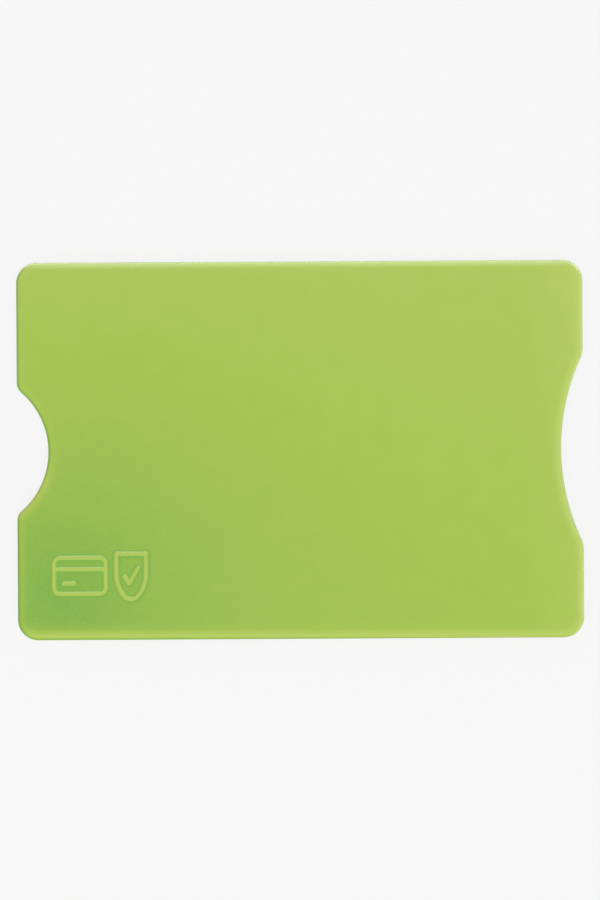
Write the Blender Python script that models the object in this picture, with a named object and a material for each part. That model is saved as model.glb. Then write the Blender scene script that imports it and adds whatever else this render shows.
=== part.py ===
"""Hard plastic holder for one bank card, lined with metal sheets that stop radio readers.

Two moulded half shells are welded together round their rims and leave a card channel between
them. On its channel side each shell has a shallow pocket with a thin aluminium shield stuck in it.

The holder lies on its back face. +X is the open mouth, -X the closed end with the deep thumb
notch, +Y one long side, and +Z the way the front face looks. The origin is under its middle.
Sizes are in metres. Heights are counted from the seam between the shells, outwards.
"""

from collections import namedtuple
from math import atan2, cos, pi, radians, sin, sqrt

import bmesh
import bpy

# The card that the holder takes
CARD_LENGTH = 0.08560
CARD_WIDTH = 0.05398
CARD_THICKNESS = 0.00076
CARD_CORNER = 0.00318

# Room for the card
CARD_SIDE_CLEARANCE = 0.00051
CARD_END_CLEARANCE = 0.00020
CARD_NUMBERS_CLEARANCE = 0.00084
CARD_RIB_CLEARANCE = 0.00015
MOUTH_SETBACK = 0.00220

# Walls of the shells
FACE_WALL = 0.00120
SIDE_WALL = 0.00250
END_WALL = 0.00200

# Outline of the shells, with a notch at each end
HOLDER_CORNER = 0.00328
THUMB_NOTCH_DEPTH = 0.00497
THUMB_NOTCH_RADIUS = 0.01245
THUMB_NOTCH_FILLET = 0.00210
MOUTH_NOTCH_DEPTH = 0.00351
MOUTH_NOTCH_RADIUS = 0.03428
MOUTH_NOTCH_FILLET = 0.00480

# Outer edge: a straight side, and a soft round that is tighter towards the side than the face
EDGE_ROUND_WIDTH = 0.00180
EDGE_ROUND_HEIGHT = 0.00080
EDGE_ROUND_POWER = 3
EDGE_ROUND_LIMIT_SHARE = 0.95
SEAM_CHAMFER = 0.00010
SEAM_GAP = 0.00006

# Tongue of the front shell and groove of the back shell, welded together
TONGUE_HEIGHT = 0.00050
TONGUE_ROOT_SHARE = 0.40
TONGUE_TIP_SHARE = 0.28
WELD_CLEARANCE = 0.00008
WELD_BEND = 0.00200
WELD_MOUTH_MARGIN = 0.00400
WELD_NOTCH_MARGIN = 0.00080

# Guide ribs for the card's long edges
RIB_END_MARGIN = 0.00600
RIB_RAMP = 0.00200
RIB_ROOT_SHARE = 0.45
RIB_CREST_SHARE = 0.28

# Bevel that leads the card in at the mouth and the thumb in at the notches
LEAD_IN = 0.00025
LEAD_IN_MARGIN = 0.00010

# Aluminium shields and their pockets
SHIELD_THICKNESS = 0.00010
SHIELD_GLUE = 0.00004
SHIELD_SINK = 0.00002
SHIELD_CLEARANCE = 0.00015
SHIELD_SIDE_MARGIN = 0.00230
SHIELD_END_MARGIN = 0.00080
SHIELD_NOTCH_MARGIN = 0.00150

# How far cutters run past what they cut, and how deep an added form is rooted
OVERRUN = 0.00050
ROOT_DEPTH = 0.00020

# Facets
CORNER_STEPS = 9
FILLET_STEPS = 7
NOTCH_STEPS = 12
EDGE_STEPS = 7
SMOOTH_ANGLE = radians(35)

# Sizes that follow from those above
CHANNEL_HALF_WIDTH = CARD_WIDTH / 2 + CARD_SIDE_CLEARANCE
CHANNEL_HALF_HEIGHT = (CARD_THICKNESS + CARD_NUMBERS_CLEARANCE) / 2
CHANNEL_CORNER = CARD_CORNER + CARD_SIDE_CLEARANCE
HALF_WIDTH = CHANNEL_HALF_WIDTH + SIDE_WALL
HALF_LENGTH = (END_WALL + CARD_END_CLEARANCE + CARD_LENGTH + MOUTH_SETBACK) / 2
HALF_THICKNESS = CHANNEL_HALF_HEIGHT + FACE_WALL
CHANNEL_END = END_WALL - HALF_LENGTH

# One end of an outline, measured outwards from the middle of the holder
End = namedtuple("End", "reach corner notch_bottom notch_radius notch_fillet")
Plan = namedtuple("Plan", "mouth_end closed_end half_width")

HOLDER = Plan(
    End(HALF_LENGTH, HOLDER_CORNER, HALF_LENGTH - MOUTH_NOTCH_DEPTH, MOUTH_NOTCH_RADIUS,
        MOUTH_NOTCH_FILLET),
    End(HALF_LENGTH, HOLDER_CORNER, HALF_LENGTH - THUMB_NOTCH_DEPTH, THUMB_NOTCH_RADIUS,
        THUMB_NOTCH_FILLET),
    HALF_WIDTH,
)


def shield_end(end, reach):
    """The shield's end, whose notch is concentric with the holder's notch."""
    return End(reach, CARD_CORNER, end.notch_bottom - SHIELD_NOTCH_MARGIN,
               end.notch_radius + SHIELD_NOTCH_MARGIN, end.notch_fillet)


SHIELD = Plan(
    shield_end(HOLDER.mouth_end, HALF_LENGTH - SHIELD_NOTCH_MARGIN),
    shield_end(HOLDER.closed_end, -CHANNEL_END - SHIELD_END_MARGIN),
    CHANNEL_HALF_WIDTH - SHIELD_SIDE_MARGIN,
)


def arc(centre_x, centre_y, radius, start, end, steps):
    """Points on an arc, from the start angle to the end angle, both ends included."""
    turns = [start + (end - start) * step / steps for step in range(steps + 1)]
    return [(centre_x + radius * cos(turn), centre_y + radius * sin(turn)) for turn in turns]


def mirrored(points):
    """The same points across the long centre line, in the opposite order."""
    return [(x, -y) for x, y in reversed(points)]


def end_points(end, half_width, inset):
    """Upper half of an end that looks along +X: notch, fillet and corner, moved in by inset."""
    notch_x = end.notch_bottom + end.notch_radius
    fillet_x = end.reach - end.notch_fillet
    fillet_y = sqrt((end.notch_radius + end.notch_fillet) ** 2 - (notch_x - fillet_x) ** 2)
    flank = atan2(fillet_y, fillet_x - notch_x)
    notch = arc(notch_x, 0, end.notch_radius + inset, pi, flank, NOTCH_STEPS)
    fillet = arc(fillet_x, fillet_y, end.notch_fillet - inset, flank - pi, 0, FILLET_STEPS)
    corner = arc(end.reach - end.corner, half_width - end.corner, end.corner - inset,
                 0, pi / 2, CORNER_STEPS)
    return notch + fillet[1:] + corner


def outline(plan, inset=0):
    """Closed outline of a notched plan, counter-clockwise, moved in by inset."""
    mouth = end_points(plan.mouth_end, plan.half_width, inset)
    closed = end_points(plan.closed_end, plan.half_width, inset)
    upper = mouth + [(-x, y) for x, y in reversed(closed)]
    return upper + mirrored(upper[1:-1])


def channel_outline(inset=0):
    """The card channel, blind at one end and run out past the mouth at the other."""
    blind_corner = arc(CHANNEL_END + CHANNEL_CORNER, CHANNEL_HALF_WIDTH - CHANNEL_CORNER,
                       CHANNEL_CORNER - inset, pi / 2, pi, CORNER_STEPS)
    upper = [(HALF_LENGTH + OVERRUN, CHANNEL_HALF_WIDTH - inset)] + blind_corner
    return upper + mirrored(upper)


def rectangle(low_x, high_x, low_y, high_y):
    return [(high_x, low_y), (high_x, high_y), (low_x, high_y), (low_x, low_y)]


def add_loft(mesh, levels):
    """A closed solid through rings of equally many points, given as (points, height)."""
    rings = [[mesh.verts.new((x, y, height)) for x, y in points] for points, height in levels]
    for ring, following in zip(rings, rings[1:]):
        for i in range(len(ring)):
            mesh.faces.new((ring[i - 1], ring[i], following[i], following[i - 1]))
    mesh.faces.new(rings[0])
    mesh.faces.new(rings[-1])


def add_sweep(mesh, section, line, closed):
    """A bar of the given section, whose corners are (inset, height), along line(inset)."""
    rows = [[mesh.verts.new((x, y, height)) for x, y in line(inset)] for inset, height in section]
    start = 0 if closed else 1
    for row, following in zip(rows, rows[1:] + rows[:1]):
        for i in range(start, len(row)):
            mesh.faces.new((row[i - 1], row[i], following[i], following[i - 1]))
    if not closed:
        mesh.faces.new([row[0] for row in rows])
        mesh.faces.new([row[-1] for row in rows])


def shaped(name, mesh, side, material):
    """The object of a mesh drawn in heights. Side 1 is the front half and -1 the back half."""
    for vertex in mesh.verts:
        vertex.co.z = HALF_THICKNESS + side * vertex.co.z
    bmesh.ops.recalc_face_normals(mesh, faces=mesh.faces)
    data = bpy.data.meshes.new(name)
    mesh.to_mesh(data)
    mesh.free()
    data.materials.append(material)
    data.shade_smooth()
    data.set_sharp_from_angle(angle=SMOOTH_ANGLE)
    shape = bpy.data.objects.new(name, data)
    bpy.context.scene.collection.objects.link(shape)
    return shape


def tool(name, mesh, side, material):
    """A hidden solid that only cuts or adds to another one."""
    shape = shaped(name, mesh, side, material)
    shape.hide_render = True
    shape.display_type = "WIRE"
    return shape


def combine(shape, other, operation):
    step = shape.modifiers.new(other.name, "BOOLEAN")
    step.operation = operation
    step.solver = "EXACT"
    step.object = other


def edge_levels():
    """Rings up the outside of a half shell: seam chamfer, straight side, then the soft round."""
    seam = SEAM_GAP / 2
    smallest = min(HOLDER_CORNER, THUMB_NOTCH_FILLET, MOUTH_NOTCH_FILLET)
    width = min(EDGE_ROUND_WIDTH, EDGE_ROUND_LIMIT_SHARE * smallest)
    side_top = HALF_THICKNESS - EDGE_ROUND_HEIGHT
    steps = [(SEAM_CHAMFER, seam), (0, seam + SEAM_CHAMFER)]
    for step in range(EDGE_STEPS + 1):
        turn = pi / 2 * step / EDGE_STEPS
        share = max(cos(turn), 0) ** (2 / EDGE_ROUND_POWER)
        steps.append((width * (1 - share), side_top + EDGE_ROUND_HEIGHT * sin(turn)))
    return [(outline(HOLDER, inset), height) for inset, height in steps]


def channel_tool(name, side, material):
    mesh = bmesh.new()
    add_loft(mesh, [(channel_outline(), -OVERRUN), (channel_outline(), CHANNEL_HALF_HEIGHT)])
    return tool(name, mesh, side, material)


def pocket_tool(name, side, material):
    """The shallow pocket that the shield is stuck into."""
    points = outline(SHIELD, -SHIELD_CLEARANCE)
    floor = CHANNEL_HALF_HEIGHT + SHIELD_SINK + SHIELD_THICKNESS + SHIELD_GLUE
    mesh = bmesh.new()
    add_loft(mesh, [(points, CHANNEL_HALF_HEIGHT - OVERRUN), (points, floor)])
    return tool(name, mesh, side, material)


def lead_in_tool(name, side, material):
    """A bevel along the outline's inner edge, which tapers off beside the channel's walls."""
    low = CHANNEL_HALF_HEIGHT - OVERRUN
    high = CHANNEL_HALF_HEIGHT + LEAD_IN + OVERRUN
    section = [(-OVERRUN, low), (-OVERRUN, high), (LEAD_IN + OVERRUN, low)]
    mesh = bmesh.new()
    add_sweep(mesh, section, lambda inset: outline(HOLDER, inset), closed=True)
    bevel = tool(name, mesh, side, material)
    mesh = bmesh.new()
    narrow = channel_outline(LEAD_IN_MARGIN + OVERRUN)
    wide = channel_outline(LEAD_IN_MARGIN - LEAD_IN - OVERRUN)
    add_loft(mesh, [(narrow, low), (wide, high)])
    combine(bevel, tool(name + "_zone", mesh, side, material), "INTERSECT")
    return bevel


def rib_tool(name, side, material):
    """Two low ribs, between the shield and the side walls, that steady the card's long edges."""
    crest = CARD_THICKNESS / 2 + CARD_RIB_CLEARANCE
    strip = SHIELD_SIDE_MARGIN - SHIELD_CLEARANCE
    middle = CHANNEL_HALF_WIDTH - strip / 2
    low_x = CHANNEL_END + RIB_END_MARGIN
    high_x = HALF_LENGTH - RIB_END_MARGIN
    root = strip * RIB_ROOT_SHARE / 2
    top = strip * RIB_CREST_SHARE / 2
    mesh = bmesh.new()
    for way in (1, -1):
        y = way * middle
        foot = rectangle(low_x, high_x, y - root, y + root)
        ridge = rectangle(low_x + RIB_RAMP, high_x - RIB_RAMP, y - top, y + top)
        levels = [(foot, CHANNEL_HALF_HEIGHT + ROOT_DEPTH), (foot, CHANNEL_HALF_HEIGHT)]
        add_loft(mesh, levels + [(ridge, crest)])
    return tool(name, mesh, side, material)


def weld_line(inset, clearance, way):
    """Middle of the rim from near the mouth, round the closed corner, to near the thumb notch."""
    side_y = HALF_WIDTH - SIDE_WALL / 2
    end_x = END_WALL / 2 - HALF_LENGTH
    notch_top = end_points(HOLDER.closed_end, HALF_WIDTH, 0)[NOTCH_STEPS + FILLET_STEPS][1]
    mouth = (HALF_LENGTH - WELD_MOUTH_MARGIN + clearance, side_y - inset)
    bend = arc(end_x + WELD_BEND, side_y - WELD_BEND, WELD_BEND - inset, pi / 2, pi, CORNER_STEPS)
    stop = (end_x + inset, notch_top + WELD_NOTCH_MARGIN - clearance)
    return [(x, way * y) for x, y in [mouth] + bend + [stop]]


def weld_tool(name, side, clearance, root, tip, material):
    """The tongue, or with a clearance its groove, along both rims from root height to tip height."""
    wall = min(SIDE_WALL, END_WALL)
    root_half = wall * TONGUE_ROOT_SHARE / 2 + clearance
    tip_half = wall * TONGUE_TIP_SHARE / 2 + clearance
    section = [(-root_half, root), (root_half, root), (root_half, 0), (tip_half, tip),
               (-tip_half, tip), (-root_half, 0)]
    mesh = bmesh.new()
    for way in (1, -1):
        add_sweep(mesh, section, lambda inset: weld_line(inset, clearance, way), closed=False)
    return tool(name, mesh, side, material)


def tongue_tool(name, side, material):
    return weld_tool(name, side, 0, SEAM_GAP + ROOT_DEPTH, -TONGUE_HEIGHT, material)


def groove_tool(name, side, material):
    return weld_tool(name, side, WELD_CLEARANCE, -OVERRUN, TONGUE_HEIGHT + WELD_CLEARANCE, material)


def half_shell(name, side, material):
    """One moulded half, still without its half of the weld."""
    mesh = bmesh.new()
    add_loft(mesh, edge_levels())
    shell = shaped(name, mesh, side, material)
    combine(shell, channel_tool(name + "_channel", side, material), "DIFFERENCE")
    combine(shell, pocket_tool(name + "_pocket", side, material), "DIFFERENCE")
    combine(shell, lead_in_tool(name + "_lead_in", side, material), "DIFFERENCE")
    combine(shell, rib_tool(name + "_ribs", side, material), "UNION")
    return shell


def front_shell(material):
    shell = half_shell("front_shell", 1, material)
    combine(shell, tongue_tool("front_shell_tongue", 1, material), "UNION")


def back_shell(material):
    shell = half_shell("back_shell", -1, material)
    combine(shell, groove_tool("back_shell_groove", -1, material), "DIFFERENCE")


def shield(name, side, material):
    """An aluminium sheet, just below the channel's face so that the card can't catch on it."""
    face = CHANNEL_HALF_HEIGHT + SHIELD_SINK
    mesh = bmesh.new()
    add_loft(mesh, [(outline(SHIELD), face), (outline(SHIELD), face + SHIELD_THICKNESS)])
    shaped(name, mesh, side, material)


def principled(name, colour, roughness, metallic):
    material = bpy.data.materials.new(name)
    material.use_nodes = True
    shader = material.node_tree.nodes["Principled BSDF"]
    shader.inputs["Base Color"].default_value = (*colour, 1)
    shader.inputs["Roughness"].default_value = roughness
    shader.inputs["Metallic"].default_value = metallic
    return material


def clear_scene():
    for old in list(bpy.data.objects):
        bpy.data.objects.remove(old)


def build():
    clear_scene()
    lime_plastic = principled("lime_plastic", (0.40, 0.57, 0.10), 0.45, 0)
    aluminium = principled("aluminium", (0.77, 0.78, 0.79), 0.35, 1)
    front_shell(lime_plastic)
    back_shell(lime_plastic)
    shield("front_shield", 1, aluminium)
    shield("back_shield", -1, aluminium)


build()
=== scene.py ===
"""Looks of a hard plastic card holder: fine moulded shells, a raised emblem and satin plastic."""

from collections import namedtuple
from functools import reduce
from math import atan2, cos, pi, radians, sin, sqrt

import bmesh
import bpy
import numpy as np
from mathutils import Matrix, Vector


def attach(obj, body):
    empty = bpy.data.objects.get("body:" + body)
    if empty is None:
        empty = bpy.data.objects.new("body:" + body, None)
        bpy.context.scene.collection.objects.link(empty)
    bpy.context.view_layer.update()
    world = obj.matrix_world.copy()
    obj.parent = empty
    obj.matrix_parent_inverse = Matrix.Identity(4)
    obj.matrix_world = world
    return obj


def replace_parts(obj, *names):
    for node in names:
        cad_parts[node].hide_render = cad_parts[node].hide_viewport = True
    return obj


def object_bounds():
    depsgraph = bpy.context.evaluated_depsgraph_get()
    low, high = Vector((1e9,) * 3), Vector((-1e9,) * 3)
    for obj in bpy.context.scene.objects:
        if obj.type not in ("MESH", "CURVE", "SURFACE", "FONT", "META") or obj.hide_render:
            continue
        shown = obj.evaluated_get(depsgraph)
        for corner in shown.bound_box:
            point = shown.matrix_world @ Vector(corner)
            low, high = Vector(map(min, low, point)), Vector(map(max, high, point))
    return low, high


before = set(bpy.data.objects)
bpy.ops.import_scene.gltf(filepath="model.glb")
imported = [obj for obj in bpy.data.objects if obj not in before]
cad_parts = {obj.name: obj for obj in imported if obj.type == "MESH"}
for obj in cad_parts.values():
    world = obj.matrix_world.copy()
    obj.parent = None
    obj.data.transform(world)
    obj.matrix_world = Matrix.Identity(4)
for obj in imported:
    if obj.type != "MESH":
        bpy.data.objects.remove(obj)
cad_low, cad_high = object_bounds()

# Overall size, from the frame. The heights below are counted outwards from the seam
HALF_LENGTH = -cad_low.x
HALF_WIDTH = cad_high.y
HALF_THICKNESS = cad_high.z / 2

# Walls, and the card channel between them
FACE_WALL = 0.00120
SIDE_WALL = 0.00250
END_WALL = 0.00200
CHANNEL_CORNER = 0.00369
CHANNEL_HALF_WIDTH = HALF_WIDTH - SIDE_WALL
CHANNEL_HALF_HEIGHT = HALF_THICKNESS - FACE_WALL
CHANNEL_END = END_WALL - HALF_LENGTH

# Outline, with a notch at each end
HOLDER_CORNER = 0.00328
THUMB_NOTCH_DEPTH = 0.00497
THUMB_NOTCH_RADIUS = 0.01245
THUMB_NOTCH_FILLET = 0.00210
MOUTH_NOTCH_DEPTH = 0.00351
MOUTH_NOTCH_RADIUS = 0.03428
MOUTH_NOTCH_FILLET = 0.00480

# Outer edge and seam
EDGE_ROUND_WIDTH = 0.00180
EDGE_ROUND_HEIGHT = 0.00080
EDGE_ROUND_POWER = 3
SEAM_CHAMFER = 0.00010
SEAM_GAP = 0.00006

# Weld tongue and its groove
TONGUE_HEIGHT = 0.00050
TONGUE_ROOT_HALF = 0.00040
TONGUE_TIP_HALF = 0.00028
WELD_CLEARANCE = 0.00008
WELD_BEND = 0.00200
WELD_MOUTH_MARGIN = 0.00400
WELD_NOTCH_MARGIN = 0.00080

# Guide ribs
RIB_CREST = 0.00053
RIB_OFFSET = 0.00108
RIB_ROOT_HALF = 0.00048
RIB_CREST_HALF = 0.00030
RIB_END_MARGIN = 0.00600
RIB_RAMP = 0.00200

# Bevel where the channel comes out
LEAD_IN = 0.00025
LEAD_IN_MARGIN = 0.00010

# Pockets of the shields
POCKET_DEPTH = 0.00016
POCKET_CORNER = 0.00333
POCKET_SIDE_MARGIN = 0.00215
POCKET_END_MARGIN = 0.00065
POCKET_NOTCH_MARGIN = 0.00135

# How far cutters run past what they cut, and how deep an added form is rooted
OVERRUN = 0.00050
ROOT_DEPTH = 0.00020

# Facets
CORNER_STEPS = 24
FILLET_STEPS = 14
NOTCH_STEPS = 40
EDGE_STEPS = 24
MERGE_DISTANCE = 0.000002
SMOOTH_ANGLE = radians(32)

# Emblem: a card and a shield with a tick, raised from the lower left of the front face
EMBLEM_X = -0.03195
EMBLEM_Y = -0.01980
EMBLEM_MARGIN = 0.00120
EMBLEM_CELL = 0.00007
RIDGE_HEIGHT = 0.00011
RIDGE_HALF_WIDTH = 0.00034
RIDGE_SHOULDER = 0.00015
HALO_SINK = 0.000012
HALO_WIDTH = 0.00035
CARD_SIGN_X = -0.00315
CARD_SIGN_HALF_WIDTH = 0.00410
CARD_SIGN_HALF_HEIGHT = 0.00285
CARD_SIGN_CORNER = 0.00095
CARD_SIGN_STRIPE_Y = 0.00105
CARD_SIGN_BAR_Y = -0.00120
CARD_SIGN_BAR_LENGTH = 0.00170
CARD_SIGN_BAR_START = 0.00150
SHIELD_SIGN_X = 0.00500
SHIELD_SIGN_HALF_WIDTH = 0.00235
SHIELD_SIGN_TOP = 0.00345
SHIELD_SIGN_WAIST = 0.00010
SHIELD_SIGN_TIP = -0.00375
SHIELD_SIGN_BEND = 1.25
SHIELD_SIGN_STEPS = 10
TICK_SHARES = ((-0.45, -0.02), (-0.12, -0.36), (0.47, 0.36))

# The photograph's frame
PICTURE_WIDTH = 600
PICTURE_HEIGHT = 900
HOLDER_CENTRE_PX = (300.15, 450.15)
PX_PER_METRE = 6284
HOLDER_ROLL = 0.00579
CAMERA_DISTANCE = 1.0
CAMERA_REACH = 20.0
SENSOR_WIDTH = 36

# Linear brightness of the pale page that the holder lies on
PAGE = 0.93

End = namedtuple("End", "reach corner notch_bottom notch_radius notch_fillet")
Plan = namedtuple("Plan", "mouth_end closed_end half_width")


def holder_end(notch_depth, notch_radius, notch_fillet):
    return End(HALF_LENGTH, HOLDER_CORNER, HALF_LENGTH - notch_depth, notch_radius, notch_fillet)


HOLDER = Plan(
    holder_end(MOUTH_NOTCH_DEPTH, MOUTH_NOTCH_RADIUS, MOUTH_NOTCH_FILLET),
    holder_end(THUMB_NOTCH_DEPTH, THUMB_NOTCH_RADIUS, THUMB_NOTCH_FILLET),
    HALF_WIDTH,
)


def pocket_end(end, reach):
    """The pocket's end, whose notch is concentric with the holder's notch."""
    return End(reach, POCKET_CORNER, end.notch_bottom - POCKET_NOTCH_MARGIN,
               end.notch_radius + POCKET_NOTCH_MARGIN, end.notch_fillet)


POCKET = Plan(
    pocket_end(HOLDER.mouth_end, HALF_LENGTH - POCKET_NOTCH_MARGIN),
    pocket_end(HOLDER.closed_end, -CHANNEL_END - POCKET_END_MARGIN),
    CHANNEL_HALF_WIDTH - POCKET_SIDE_MARGIN,
)


def arc(centre_x, centre_y, radius, start, end, steps):
    """Points on an arc, from the start angle to the end angle, both ends included."""
    turns = [start + (end - start) * step / steps for step in range(steps + 1)]
    return [(centre_x + radius * cos(turn), centre_y + radius * sin(turn)) for turn in turns]


def mirrored(points):
    """The same points across the long centre line, in the opposite order."""
    return [(x, -y) for x, y in reversed(points)]


def end_points(end, half_width, inset):
    """Upper half of an end that looks along +X: notch, fillet and corner, moved in by inset."""
    notch_x = end.notch_bottom + end.notch_radius
    fillet_x = end.reach - end.notch_fillet
    fillet_y = sqrt((end.notch_radius + end.notch_fillet) ** 2 - (notch_x - fillet_x) ** 2)
    flank = atan2(fillet_y, fillet_x - notch_x)
    notch = arc(notch_x, 0, end.notch_radius + inset, pi, flank, NOTCH_STEPS)
    fillet = arc(fillet_x, fillet_y, end.notch_fillet - inset, flank - pi, 0, FILLET_STEPS)
    corner = arc(end.reach - end.corner, half_width - end.corner, end.corner - inset,
                 0, pi / 2, CORNER_STEPS)
    return notch + fillet[1:] + corner


def outline(plan, inset=0):
    """Closed outline of a notched plan, counter-clockwise, moved in by inset."""
    mouth = end_points(plan.mouth_end, plan.half_width, inset)
    closed = end_points(plan.closed_end, plan.half_width, inset)
    upper = mouth + [(-x, y) for x, y in reversed(closed)]
    return upper + mirrored(upper[1:-1])


def channel_outline(inset=0):
    """The card channel, blind at one end and run out past the mouth at the other."""
    blind_corner = arc(CHANNEL_END + CHANNEL_CORNER, CHANNEL_HALF_WIDTH - CHANNEL_CORNER,
                       CHANNEL_CORNER - inset, pi / 2, pi, CORNER_STEPS)
    upper = [(HALF_LENGTH + OVERRUN, CHANNEL_HALF_WIDTH - inset)] + blind_corner
    return upper + mirrored(upper)


def rectangle(low_x, high_x, low_y, high_y):
    return [(high_x, low_y), (high_x, high_y), (low_x, high_y), (low_x, low_y)]


def add_loft(mesh, levels):
    """A closed solid through rings of equally many points, given as (points, height)."""
    rings = [[mesh.verts.new((x, y, height)) for x, y in points] for points, height in levels]
    for ring, following in zip(rings, rings[1:]):
        for i in range(len(ring)):
            mesh.faces.new((ring[i - 1], ring[i], following[i], following[i - 1]))
    mesh.faces.new(rings[0])
    mesh.faces.new(rings[-1])


def add_sweep(mesh, section, line, closed):
    """A bar of the given section, whose corners are (inset, height), along line(inset)."""
    rows = [[mesh.verts.new((x, y, height)) for x, y in line(inset)] for inset, height in section]
    start = 0 if closed else 1
    for row, following in zip(rows, rows[1:] + rows[:1]):
        for i in range(start, len(row)):
            mesh.faces.new((row[i - 1], row[i], following[i], following[i - 1]))
    if not closed:
        mesh.faces.new([row[0] for row in rows])
        mesh.faces.new([row[-1] for row in rows])


def linked(name, mesh):
    """The scene object of a bmesh, which is used up."""
    data = bpy.data.meshes.new(name)
    mesh.to_mesh(data)
    mesh.free()
    shape = bpy.data.objects.new(name, data)
    bpy.context.scene.collection.objects.link(shape)
    return shape


def placed(name, mesh, side):
    """The object of a mesh drawn in heights. Side 1 is the front half and -1 the back half."""
    for vertex in mesh.verts:
        vertex.co.z = HALF_THICKNESS + side * vertex.co.z
    bmesh.ops.recalc_face_normals(mesh, faces=mesh.faces)
    return linked(name, mesh)


def carved(shape, steps):
    """The shape after Boolean steps, given as (operation, tool). The tools are used up."""
    for operation, tool in steps:
        step = shape.modifiers.new(tool.name, "BOOLEAN")
        step.operation = operation
        step.solver = "EXACT"
        step.object = tool
    graph = bpy.context.evaluated_depsgraph_get()
    mesh = bmesh.new()
    mesh.from_object(shape, graph)
    bmesh.ops.remove_doubles(mesh, verts=mesh.verts, dist=MERGE_DISTANCE)
    shape.modifiers.clear()
    mesh.to_mesh(shape.data)
    mesh.free()
    for _, tool in steps:
        bpy.data.objects.remove(tool)
    return shape


def edge_levels():
    """Rings up the outside of a half shell: seam chamfer, straight side, then the soft round."""
    seam = SEAM_GAP / 2
    side_top = HALF_THICKNESS - EDGE_ROUND_HEIGHT
    steps = [(SEAM_CHAMFER, seam), (0, seam + SEAM_CHAMFER)]
    for step in range(EDGE_STEPS + 1):
        turn = pi / 2 * step / EDGE_STEPS
        share = max(cos(turn), 0) ** (2 / EDGE_ROUND_POWER)
        steps.append((EDGE_ROUND_WIDTH * (1 - share), side_top + EDGE_ROUND_HEIGHT * sin(turn)))
    return [(outline(HOLDER, inset), height) for inset, height in steps]


def channel_tool(side):
    mesh = bmesh.new()
    add_loft(mesh, [(channel_outline(), -OVERRUN), (channel_outline(), CHANNEL_HALF_HEIGHT)])
    return placed("channel_tool", mesh, side)


def pocket_tool(side):
    mesh = bmesh.new()
    points = outline(POCKET)
    low = CHANNEL_HALF_HEIGHT - OVERRUN
    add_loft(mesh, [(points, low), (points, CHANNEL_HALF_HEIGHT + POCKET_DEPTH)])
    return placed("pocket_tool", mesh, side)


def lead_in_tool(side):
    """A bevel along the outline's inner edge, which tapers off beside the channel's walls."""
    low = CHANNEL_HALF_HEIGHT - OVERRUN
    high = CHANNEL_HALF_HEIGHT + LEAD_IN + OVERRUN
    section = [(-OVERRUN, low), (-OVERRUN, high), (LEAD_IN + OVERRUN, low)]
    mesh = bmesh.new()
    add_sweep(mesh, section, lambda inset: outline(HOLDER, inset), closed=True)
    bevel = placed("lead_in_tool", mesh, side)
    mesh = bmesh.new()
    narrow = channel_outline(LEAD_IN_MARGIN + OVERRUN)
    wide = channel_outline(LEAD_IN_MARGIN - LEAD_IN - OVERRUN)
    add_loft(mesh, [(narrow, low), (wide, high)])
    return carved(bevel, [("INTERSECT", placed("lead_in_zone", mesh, side))])


def rib_tool(side):
    """Two low ribs that steady the card's long edges."""
    low_x = CHANNEL_END + RIB_END_MARGIN
    high_x = HALF_LENGTH - RIB_END_MARGIN
    mesh = bmesh.new()
    for way in (1, -1):
        y = way * (CHANNEL_HALF_WIDTH - RIB_OFFSET)
        foot = rectangle(low_x, high_x, y - RIB_ROOT_HALF, y + RIB_ROOT_HALF)
        ridge = rectangle(low_x + RIB_RAMP, high_x - RIB_RAMP, y - RIB_CREST_HALF,
                          y + RIB_CREST_HALF)
        levels = [(foot, CHANNEL_HALF_HEIGHT + ROOT_DEPTH), (foot, CHANNEL_HALF_HEIGHT)]
        add_loft(mesh, levels + [(ridge, RIB_CREST)])
    return placed("rib_tool", mesh, side)


def weld_line(inset, clearance, way):
    """Middle of the rim from near the mouth, round the closed corner, to near the thumb notch."""
    side_y = HALF_WIDTH - SIDE_WALL / 2
    end_x = END_WALL / 2 - HALF_LENGTH
    notch_top = end_points(HOLDER.closed_end, HALF_WIDTH, 0)[NOTCH_STEPS + FILLET_STEPS][1]
    mouth = (HALF_LENGTH - WELD_MOUTH_MARGIN + clearance, side_y - inset)
    bend = arc(end_x + WELD_BEND, side_y - WELD_BEND, WELD_BEND - inset, pi / 2, pi, CORNER_STEPS)
    stop = (end_x + inset, notch_top + WELD_NOTCH_MARGIN - clearance)
    return [(x, way * y) for x, y in [mouth] + bend + [stop]]


def weld_tool(side, clearance, root, tip):
    """The tongue, or with a clearance its groove, along both rims from root to tip height."""
    root_half = TONGUE_ROOT_HALF + clearance
    tip_half = TONGUE_TIP_HALF + clearance
    section = [(-root_half, root), (root_half, root), (root_half, 0), (tip_half, tip),
               (-tip_half, tip), (-root_half, 0)]
    mesh = bmesh.new()
    for way in (1, -1):
        add_sweep(mesh, section, lambda inset: weld_line(inset, clearance, way), closed=False)
    return placed("weld_tool", mesh, side)


def half_cover(name, side):
    """One moulded half with its half of the weld."""
    mesh = bmesh.new()
    add_loft(mesh, edge_levels())
    steps = [("DIFFERENCE", channel_tool(side)), ("DIFFERENCE", pocket_tool(side)),
             ("DIFFERENCE", lead_in_tool(side)), ("UNION", rib_tool(side))]
    if side > 0:
        steps.append(("UNION", weld_tool(side, 0, SEAM_GAP + ROOT_DEPTH, -TONGUE_HEIGHT)))
    else:
        depth = TONGUE_HEIGHT + WELD_CLEARANCE
        steps.append(("DIFFERENCE", weld_tool(side, WELD_CLEARANCE, -OVERRUN, depth)))
    return carved(placed(name, mesh, side), steps)


def smoothstep(value):
    share = np.clip(value, 0, 1)
    return share * share * (3 - 2 * share)


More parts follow.
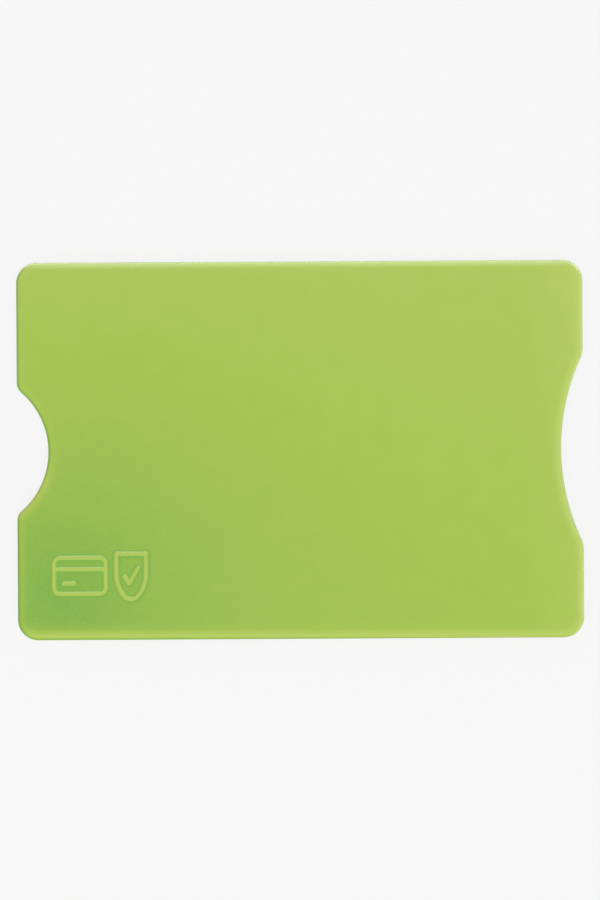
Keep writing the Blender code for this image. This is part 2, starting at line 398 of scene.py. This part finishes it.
def line_distance(x, y, start, end):
    """Distance of points to a straight stroke's middle line."""
    (ax, ay), (bx, by) = start, end
    dx, dy = bx - ax, by - ay
    along = np.clip(((x - ax) * dx + (y - ay) * dy) / (dx * dx + dy * dy), 0, 1)
    return np.hypot(x - ax - along * dx, y - ay - along * dy)


def path_distance(x, y, points):
    return np.min([line_distance(x, y, a, b) for a, b in zip(points, points[1:])], axis=0)


def card_sign_distance(x, y):
    """Distance to the strokes of the card: its rounded outline, its stripe and a short bar."""
    x = x - CARD_SIGN_X
    flat_x = CARD_SIGN_HALF_WIDTH - CARD_SIGN_CORNER
    flat_y = CARD_SIGN_HALF_HEIGHT - CARD_SIGN_CORNER
    over_x, over_y = np.abs(x) - flat_x, np.abs(y) - flat_y
    outside = np.hypot(np.maximum(over_x, 0), np.maximum(over_y, 0))
    inside = np.minimum(np.maximum(over_x, over_y), 0)
    frame_line = np.abs(outside + inside - CARD_SIGN_CORNER)
    stripe = line_distance(x, y, (-CARD_SIGN_HALF_WIDTH, CARD_SIGN_STRIPE_Y),
                           (CARD_SIGN_HALF_WIDTH, CARD_SIGN_STRIPE_Y))
    bar_start = CARD_SIGN_BAR_START - CARD_SIGN_HALF_WIDTH
    bar = line_distance(x, y, (bar_start, CARD_SIGN_BAR_Y),
                        (bar_start + CARD_SIGN_BAR_LENGTH, CARD_SIGN_BAR_Y))
    return np.min([frame_line, stripe, bar], axis=0)


def shield_sign_distance(x, y):
    """Distance to the strokes of the shield: straight sides that curve to a tip, and a tick."""
    x = x - SHIELD_SIGN_X
    half, top, waist, tip = (SHIELD_SIGN_HALF_WIDTH, SHIELD_SIGN_TOP, SHIELD_SIGN_WAIST,
                             SHIELD_SIGN_TIP)
    side = [(half, top), (half, waist)]
    for step in range(1, SHIELD_SIGN_STEPS + 1):
        turn = pi / 2 * step / SHIELD_SIGN_STEPS
        side.append((half * cos(turn), waist + (tip - waist) * sin(turn) ** SHIELD_SIGN_BEND))
    right = path_distance(np.abs(x), y, side)
    brow = line_distance(x, y, (-half, top), (half, top))
    tick = path_distance(x, y, [(half * a, top * b) for a, b in TICK_SHARES])
    return np.min([right, brow, tick], axis=0)


def relief_height(x, y):
    """Height of the emblem above the front face."""
    x, y = x - EMBLEM_X, y - EMBLEM_Y
    distance = np.minimum(card_sign_distance(x, y), shield_sign_distance(x, y))
    foot = RIDGE_HALF_WIDTH + RIDGE_SHOULDER
    ridge = RIDGE_HEIGHT * smoothstep((foot - distance) / (2 * RIDGE_SHOULDER))
    sink = HALO_SINK * smoothstep((foot + HALO_WIDTH - distance) / HALO_WIDTH)
    return np.where(distance < foot, ridge - HALO_SINK * (1 - ridge / RIDGE_HEIGHT), -sink)


def add_relief(cover):
    """The front face again, with a fine grid that rises to the emblem."""
    mesh = bmesh.new()
    mesh.from_mesh(cover.data)
    top = max(mesh.faces, key=lambda face: (face.normal.z > 0) * face.calc_area())
    border = list(top.edges)
    mesh.faces.remove(top)
    left = EMBLEM_X + CARD_SIGN_X - CARD_SIGN_HALF_WIDTH - EMBLEM_MARGIN
    right = EMBLEM_X + SHIELD_SIGN_X + SHIELD_SIGN_HALF_WIDTH + EMBLEM_MARGIN
    low = EMBLEM_Y + SHIELD_SIGN_TIP - EMBLEM_MARGIN
    high = EMBLEM_Y + SHIELD_SIGN_TOP + EMBLEM_MARGIN
    x, y = np.meshgrid(np.arange(left, right, EMBLEM_CELL), np.arange(low, high, EMBLEM_CELL))
    z = 2 * HALF_THICKNESS + relief_height(x, y)
    rows = [[mesh.verts.new(point) for point in zip(*row)] for row in zip(x, y, z)]
    for row, following in zip(rows, rows[1:]):
        for i in range(1, len(row)):
            mesh.faces.new((row[i - 1], row[i], following[i], following[i - 1]))
    corners = rows[0] + [row[-1] for row in rows[1:]] + rows[-1][-2::-1]
    ring = corners + [row[0] for row in rows[-2:0:-1]]
    border += [mesh.edges.get((a, b)) for a, b in zip(ring, ring[1:] + ring[:1])]
    bmesh.ops.triangle_fill(mesh, edges=border, use_beauty=True, normal=(0, 0, 1))
    bmesh.ops.recalc_face_normals(mesh, faces=mesh.faces)
    mesh.to_mesh(cover.data)
    mesh.free()


def finished(cover, material):
    cover.data.shade_smooth()
    cover.data.set_sharp_from_angle(angle=SMOOTH_ANGLE)
    cover.data.materials.clear()
    cover.data.materials.append(material)
    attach(cover, "root")
    return cover


class Nodes:
    """Short calls that add shader nodes to a material or a world."""

    def __init__(self, tree):
        self.tree = tree

    def add(self, kind, inputs=(), **settings):
        node = self.tree.nodes.new(kind)
        for name, value in settings.items():
            setattr(node, name, value)
        for key, value in dict(inputs).items():
            if isinstance(value, bpy.types.NodeSocket):
                self.tree.links.new(value, node.inputs[key])
            else:
                node.inputs[key].default_value = value
        return node

    def math(self, operation, *values):
        return self.add("ShaderNodeMath", dict(enumerate(values)), operation=operation).outputs[0]

    def total(self, *values):
        return reduce(lambda first, second: self.math("ADD", first, second), values)

    def product(self, *values):
        return reduce(lambda first, second: self.math("MULTIPLY", first, second), values)

    def rest(self, share):
        return self.math("SUBTRACT", 1.0, share)

    def vector(self, operation, *values):
        return self.add("ShaderNodeVectorMath", dict(enumerate(values)), operation=operation)

    def split(self, vector):
        return list(self.add("ShaderNodeSeparateXYZ", {0: vector}).outputs)

    def ramp(self, value, low, high, to_low=0.0, to_high=1.0, kind="SMOOTHSTEP"):
        inputs = {"Value": value, "From Min": low, "From Max": high, "To Min": to_low,
                  "To Max": to_high}
        node = self.add("ShaderNodeMapRange", inputs, interpolation_type=kind)
        return node.outputs["Result"]

    def noise(self, point, scale, detail=2.0):
        inputs = {"Vector": point, "Scale": scale, "Detail": detail}
        return self.add("ShaderNodeTexNoise", inputs).outputs["Fac"]

    def blend(self, share, first, second):
        inputs = {0: share, 6: first, 7: second}
        return self.add("ShaderNodeMix", inputs, data_type="RGBA").outputs[2]

    def shades(self, share, stops):
        node = self.add("ShaderNodeValToRGB", {"Fac": share})
        elements = node.color_ramp.elements
        while len(elements) < len(stops):
            elements.new(1.0)
        for element, (position, colour) in zip(elements, stops):
            element.position = position
            element.color = colour
        return node.outputs["Color"]


# How far a full bump of any material stands out
BUMP_DISTANCE = 0.00001


def new_material(name):
    material = bpy.data.materials.new(name)
    material.use_nodes = True
    return material, Nodes(material.node_tree), material.node_tree.nodes["Principled BSDF"]


def clothe(nodes, shader, colour, grain, grain_range, roughness, bump_strength):
    """Give a shader its colour, and a grain that shows in its roughness and its bump."""
    inputs = {"Height": grain, "Strength": bump_strength, "Distance": BUMP_DISTANCE}
    bump = nodes.add("ShaderNodeBump", inputs).outputs[0]
    links = nodes.tree.links
    links.new(colour, shader.inputs["Base Color"])
    links.new(nodes.ramp(grain, *grain_range, *roughness), shader.inputs["Roughness"])
    links.new(bump, shader.inputs["Normal"])


# Lime plastic: its colours by depth, from a light yellow-green to a deep green
LIME_SHADES = ((0.0, (0.458, 0.608, 0.094, 1)), (0.08, (0.432, 0.584, 0.084, 1)),
               (0.3, (0.378, 0.548, 0.057, 1)), (1.0, (0.204, 0.441, 0.040, 1)))
LIME_IOR = 1.6
LIME_ROUGHNESS = (0.27, 0.34)
LIME_BUMP = 0.10
GRAIN_SCALE = 12000.0
GRAIN_DETAIL = 3.0
NOISE_RANGE = (0.3, 0.7)

# Depth on the faces: from top to bottom, round the deep spot, and painted light that makes the
# right end lighter
SLOPE_TOP = 0.10
SLOPE_BOTTOM = 0.33
SPOT = (-0.0382, -0.0223, 0.0)
SPOT_REACH = 0.024
SPOT_WEIGHT = 0.74
SPOT_LOW_START = -0.0268
SPOT_LOW_END = -0.0294
SPOT_LOW_KEEP = 0.35
RIGHT_START = 0.034
RIGHT_END = 0.045
RIGHT_LIGHT_DEPTH = -0.14
CLOUD_SCALE = 260.0
CLOUD_DEPTH = 0.03
MOTTLE_SCALE = 2200.0
MOTTLE_DEPTH = 0.135

# Painted light on the rims: the slope at which it starts and is full, and how it weakens on the
# shaded side
RIM_START = 0.04
RIM_FULL = 0.62
LEAST_SINE = 0.001
SHADED_SIDE = (0.93, 0.37, 0.0)
SHADED_START = -0.70
SHADED_FULL = -1.0
SHADED_RIM = 0.4

# Painted shade: a deep line low on the rims that face down or left, away from the light. It
# starts at less tilt towards the left
STEEP_START = radians(26)
STEEP_END = radians(56)
STEEP_SHADE = 0.70
WALL_START = radians(66)
WALL_END = radians(82)
LEAN_START = -0.020
LEAN_END = 0.035
LEAN_LEFT = radians(8)
LEAN_RIGHT = radians(-17)
LEE_FULL = -0.7

# Shades of the emblem: its zone, its raised strokes, and painted shade on their lower right sides
# and in the halo round them
EMBLEM_REACH = (0.0105, 0.0078, 0.001)
EMBLEM_ZONE_START = 0.95
RAISED_START = 0.2
RAISED_FULL = 0.9
RAISED_DEPTH = 0.11
STROKE_LEE_START = 0.10
STROKE_LEE_FULL = 0.38
STROKE_LEE_SHADE = 0.45
HALO_BRIM = 0.2
HALO_SHADE = 0.42

Surface = namedtuple("Surface", "place x y z normal across along tilt on_emblem raised")


def plastic_surface(nodes):
    """Where a point lies, how it faces, and how much it belongs to the emblem."""
    coordinates = nodes.add("ShaderNodeTexCoord").outputs
    place, normal = coordinates["Object"], coordinates["Normal"]
    x, y, z = nodes.split(place)
    across, along, up = nodes.split(normal)
    tilt = nodes.math("ARCCOSINE", nodes.math("ABSOLUTE", up))
    face = 2 * HALF_THICKNESS
    offset = nodes.vector("SUBTRACT", place, (EMBLEM_X, EMBLEM_Y, face)).outputs[0]
    scaled = nodes.vector("DIVIDE", offset, EMBLEM_REACH).outputs[0]
    distance = nodes.vector("LENGTH", scaled).outputs["Value"]
    on_emblem = nodes.ramp(distance, EMBLEM_ZONE_START, 1.0, 1.0, 0.0)
    raised = nodes.ramp(z, face + RIDGE_HEIGHT * RAISED_START, face + RIDGE_HEIGHT * RAISED_FULL)
    return Surface(place, x, y, z, normal, across, along, tilt, on_emblem, raised)


def spread_noise(nodes, place, scale, limit):
    """Noise between -limit and limit."""
    return nodes.ramp(nodes.noise(place, scale), *NOISE_RANGE, -limit, limit, kind="LINEAR")


def face_depth(nodes, surface, spot_weight):
    """Depth of the colour over the faces, with a deep spot that fades near the lower edge, and
    painted light towards the right end.
    """
    flat_place = nodes.vector("MULTIPLY", surface.place, (1.0, 1.0, 0.0)).outputs[0]
    distance = nodes.vector("DISTANCE", flat_place, SPOT).outputs["Value"]
    fading = nodes.math("EXPONENT", nodes.math("MULTIPLY", distance, -1 / SPOT_REACH))
    low = nodes.ramp(surface.y, SPOT_LOW_START, SPOT_LOW_END, 1.0, SPOT_LOW_KEEP)
    spot = nodes.product(fading, spot_weight, low)
    slope = nodes.ramp(surface.y, HALF_WIDTH, -HALF_WIDTH, SLOPE_TOP, SLOPE_BOTTOM, kind="LINEAR")
    # Painted light: the right end is lighter
    right = nodes.ramp(surface.x, RIGHT_START, RIGHT_END, 0.0, RIGHT_LIGHT_DEPTH)
    cloud = spread_noise(nodes, surface.place, CLOUD_SCALE, CLOUD_DEPTH)
    mottle = spread_noise(nodes, surface.place, MOTTLE_SCALE, MOTTLE_DEPTH)
    return nodes.total(spot, slope, right, cloud, nodes.math("MULTIPLY", mottle, spot))


def painted_rim_light(nodes, surface):
    """Painted light on the rims: how much the slope of a rim lightens it, from 0 to 1, less on
    the shaded side.
    """
    sine = nodes.math("MAXIMUM", nodes.math("SINE", surface.tilt), LEAST_SINE)
    rim = nodes.ramp(nodes.math("SQRT", sine), RIM_START, RIM_FULL, kind="LINEAR")
    facing = nodes.vector("DOT_PRODUCT", surface.normal, SHADED_SIDE).outputs["Value"]
    shaded = nodes.ramp(nodes.math("DIVIDE", facing, sine), SHADED_START, SHADED_FULL,
                        1.0, SHADED_RIM)
    return nodes.product(rim, shaded, nodes.rest(surface.on_emblem))


def painted_shade_line(nodes, surface):
    """Painted shade: extra depth in a line low on the rims that face down or left."""
    lee = nodes.ramp(nodes.math("ADD", surface.across, surface.along), 0.0, LEE_FULL)
    lean = nodes.ramp(surface.x, LEAN_START, LEAN_END, LEAN_LEFT, LEAN_RIGHT, kind="LINEAR")
    leaning = nodes.math("ADD", surface.tilt, lean)
    steep = nodes.ramp(leaning, STEEP_START, STEEP_END, 0.0, STEEP_SHADE)
    below_wall = nodes.ramp(surface.tilt, WALL_START, WALL_END, 1.0, 0.0)
    return nodes.product(steep, lee, below_wall, nodes.rest(surface.on_emblem))


def emblem_depth_and_shade(nodes, surface):
    """Extra depth on the emblem's strokes, and painted shade on their lower right sides and in
    the halo.
    """
    strokes = nodes.math("MULTIPLY", surface.raised, RAISED_DEPTH)
    facing = nodes.math("SUBTRACT", surface.across, surface.along)
    lee = nodes.ramp(facing, STROKE_LEE_START, STROKE_LEE_FULL, 0.0, STROKE_LEE_SHADE)
    face = 2 * HALF_THICKNESS
    halo = nodes.ramp(surface.z, face - HALO_SINK, face - HALO_SINK * HALO_BRIM, HALO_SHADE, 0.0)
    lee_and_halo_shade = nodes.math("MULTIPLY", nodes.math("ADD", lee, halo), surface.on_emblem)
    return nodes.math("ADD", strokes, lee_and_halo_shade)


def lime_plastic(name, spot_weight):
    """Satin moulded plastic that deepens from yellow-green to green towards one corner, with
    painted light on its rims and painted shade low on the rims facing down or left and round the
    emblem.
    """
    material, nodes, shader = new_material(name)
    surface = plastic_surface(nodes)
    depth = nodes.product(face_depth(nodes, surface, spot_weight),
                          nodes.rest(painted_rim_light(nodes, surface)), nodes.rest(surface.raised))
    share = nodes.total(depth, painted_shade_line(nodes, surface), emblem_depth_and_shade(nodes, surface))
    grain = nodes.noise(surface.place, GRAIN_SCALE, GRAIN_DETAIL)
    clothe(nodes, shader, nodes.shades(share, LIME_SHADES), grain, NOISE_RANGE, LIME_ROUGHNESS,
           LIME_BUMP)
    shader.inputs["IOR"].default_value = LIME_IOR
    return material


# Aluminium sheet: its colours between and on the rolling lines, and how the lines are stretched
SHEET_DARK = (0.77, 0.78, 0.79, 1)
SHEET_LIGHT = (0.88, 0.885, 0.89, 1)
SHEET_STRETCH = (300.0, 9000.0, 300.0)
SHEET_DETAIL = 3.0
SHEET_NOISE_RANGE = (0.2, 0.8)
SHEET_ROUGHNESS = (0.44, 0.60)
SHEET_BUMP = 0.2


def rolled_aluminium():
    """Thin sheet with fine rolling lines along its length."""
    material, nodes, shader = new_material("rolled_aluminium")
    place = nodes.add("ShaderNodeTexCoord").outputs["Object"]
    stretched = nodes.vector("MULTIPLY", place, SHEET_STRETCH).outputs[0]
    lines = nodes.noise(stretched, 1.0, SHEET_DETAIL)
    colour = nodes.blend(lines, SHEET_DARK, SHEET_LIGHT)
    clothe(nodes, shader, colour, lines, SHEET_NOISE_RANGE, SHEET_ROUGHNESS, SHEET_BUMP)
    shader.inputs["Metallic"].default_value = 1.0
    return material


def seen_ray(nodes):
    """1 for rays that show a surface to the camera, directly or in gloss or glass."""
    rays = nodes.add("ShaderNodeLightPath").outputs
    shown = nodes.math("MAXIMUM", rays["Is Camera Ray"], rays["Is Glossy Ray"])
    return nodes.math("MAXIMUM", shown, rays["Is Transmission Ray"])


# Floor: the brightness of its own, the lit part that takes the shadow, and what it gives back
FLOOR_RADIUS = 3.0
FLOOR_SEGMENTS = 96
FLOOR_DROP = 0.00002
FLOOR_GLOW = 0.855
FLOOR_LIT = 0.08
FLOOR_BOUNCE = 0.40


def grey(level):
    return (level, level, level, 1)


def page_floor():
    """The page under the holder. It shows brighter than it lights the holder."""
    mesh = bmesh.new()
    bmesh.ops.create_circle(mesh, cap_ends=True, segments=FLOOR_SEGMENTS, radius=FLOOR_RADIUS)
    floor = linked("floor", mesh)
    floor.location.z = -FLOOR_DROP
    material = bpy.data.materials.new("page")
    material.use_nodes = True
    material.node_tree.nodes.clear()
    nodes = Nodes(material.node_tree)
    lit = nodes.add("ShaderNodeBsdfDiffuse", {"Color": grey(FLOOR_LIT)}).outputs[0]
    glow = nodes.add("ShaderNodeEmission", {"Strength": FLOOR_GLOW}).outputs[0]
    shown = nodes.add("ShaderNodeAddShader", {0: lit, 1: glow}).outputs[0]
    plain = nodes.add("ShaderNodeBsdfDiffuse", {"Color": grey(FLOOR_BOUNCE)}).outputs[0]
    mixed = nodes.add("ShaderNodeMixShader", {0: seen_ray(nodes), 1: plain, 2: shown}).outputs[0]
    nodes.add("ShaderNodeOutputMaterial", {"Surface": mixed})
    floor.data.materials.append(material)


# Brightness of the studio as a light
AMBIENT = 0.80


def studio_world():
    """Even light from all round, which shows as bright as the page."""
    world = bpy.data.worlds.new("studio")
    world.use_nodes = True
    world.node_tree.nodes.clear()
    nodes = Nodes(world.node_tree)
    strength = nodes.ramp(seen_ray(nodes), 0.0, 1.0, AMBIENT, PAGE, kind="LINEAR")
    light = nodes.add("ShaderNodeBackground", {"Strength": strength}).outputs[0]
    nodes.add("ShaderNodeOutputWorld", {"Surface": light})
    bpy.context.scene.world = world


# Far softboxes and near cards. Each is turned towards its aim, or else towards the origin
Lamp = namedtuple("Lamp", "name place width height radiance shows_on aim",
                  defaults=[(0.0, 0.0, 0.0)])
LAMPS = (
    Lamp("fill_lamp", (-0.06, -0.60, 1.03), 1.06, 1.06, 1.86, "diffuse"),
    Lamp("right_edge_lamp", (0.70, 0.07, 0.05), 0.27, 0.27, 1.50, "diffuse"),
    Lamp("top_card", (0.005, 0.035, 0.003), 0.104, 0.006, 3.90, "gloss", (0.005, 0.0, 0.0)),
    Lamp("right_card", (0.050, 0.0, 0.003), 0.09, 0.006, 1.95, "gloss"),
    Lamp("top_low_box", (0.0, 0.82, 0.57), 0.6, 0.3, 3.10, "gloss"),
    Lamp("top_high_box", (0.0, 0.57, 0.82), 0.6, 0.3, 1.90, "gloss"),
    Lamp("corner_box", (0.60, 0.60, 0.53), 0.9, 0.55, 1.20, "gloss"),
    Lamp("right_low_box", (0.82, 0.0, 0.57), 0.6, 0.3, 1.35, "gloss"),
    Lamp("right_high_box", (0.50, 0.0, 0.87), 0.6, 0.4, 0.75, "gloss"),
)


def soft_lamps():
    """The lamps, most of which show only as gloss."""
    for lamp in LAMPS:
        light = bpy.data.lights.new(lamp.name, "AREA")
        light.shape = "RECTANGLE"
        light.size = lamp.width
        light.size_y = lamp.height
        light.energy = lamp.radiance * pi * lamp.width * lamp.height
        shown = bpy.data.objects.new(lamp.name, light)
        shown.location = lamp.place
        away = Vector(lamp.place) - Vector(lamp.aim)
        shown.rotation_euler = away.to_track_quat("Z", "Y").to_euler()
        shown.visible_camera = False
        shown.visible_diffuse = lamp.shows_on != "gloss"
        shown.visible_glossy = lamp.shows_on != "diffuse"
        bpy.context.scene.collection.objects.link(shown)


def photo_camera():
    """Straight above the holder, framed and turned as in the photograph."""
    camera = bpy.data.cameras.new("camera")
    camera.sensor_width = SENSOR_WIDTH
    span = max(PICTURE_WIDTH, PICTURE_HEIGHT) / PX_PER_METRE
    camera.lens = SENSOR_WIDTH * CAMERA_DISTANCE / span
    camera.clip_end = CAMERA_REACH
    shown = bpy.data.objects.new("camera", camera)
    across = (PICTURE_WIDTH / 2 - HOLDER_CENTRE_PX[0]) / PX_PER_METRE
    up = (HOLDER_CENTRE_PX[1] - PICTURE_HEIGHT / 2) / PX_PER_METRE
    shown.location = (across, up, HALF_THICKNESS + CAMERA_DISTANCE)
    shown.rotation_euler.z = -HOLDER_ROLL
    bpy.context.scene.collection.objects.link(shown)
    bpy.context.scene.camera = shown


def main():
    photo_camera()
    page_floor()
    studio_world()
    soft_lamps()
    bpy.context.scene.view_settings.view_transform = "Standard"

    front = half_cover("front_cover", 1)
    add_relief(front)
    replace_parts(finished(front, lime_plastic("front_plastic", SPOT_WEIGHT)), "front_shell")

    back = half_cover("back_cover", -1)
    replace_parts(finished(back, lime_plastic("back_plastic", 0.0)), "back_shell")

    sheet_metal = rolled_aluminium()
    for name in ("front_shield", "back_shield"):
        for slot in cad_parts[name].material_slots:
            slot.material = sheet_metal


main()
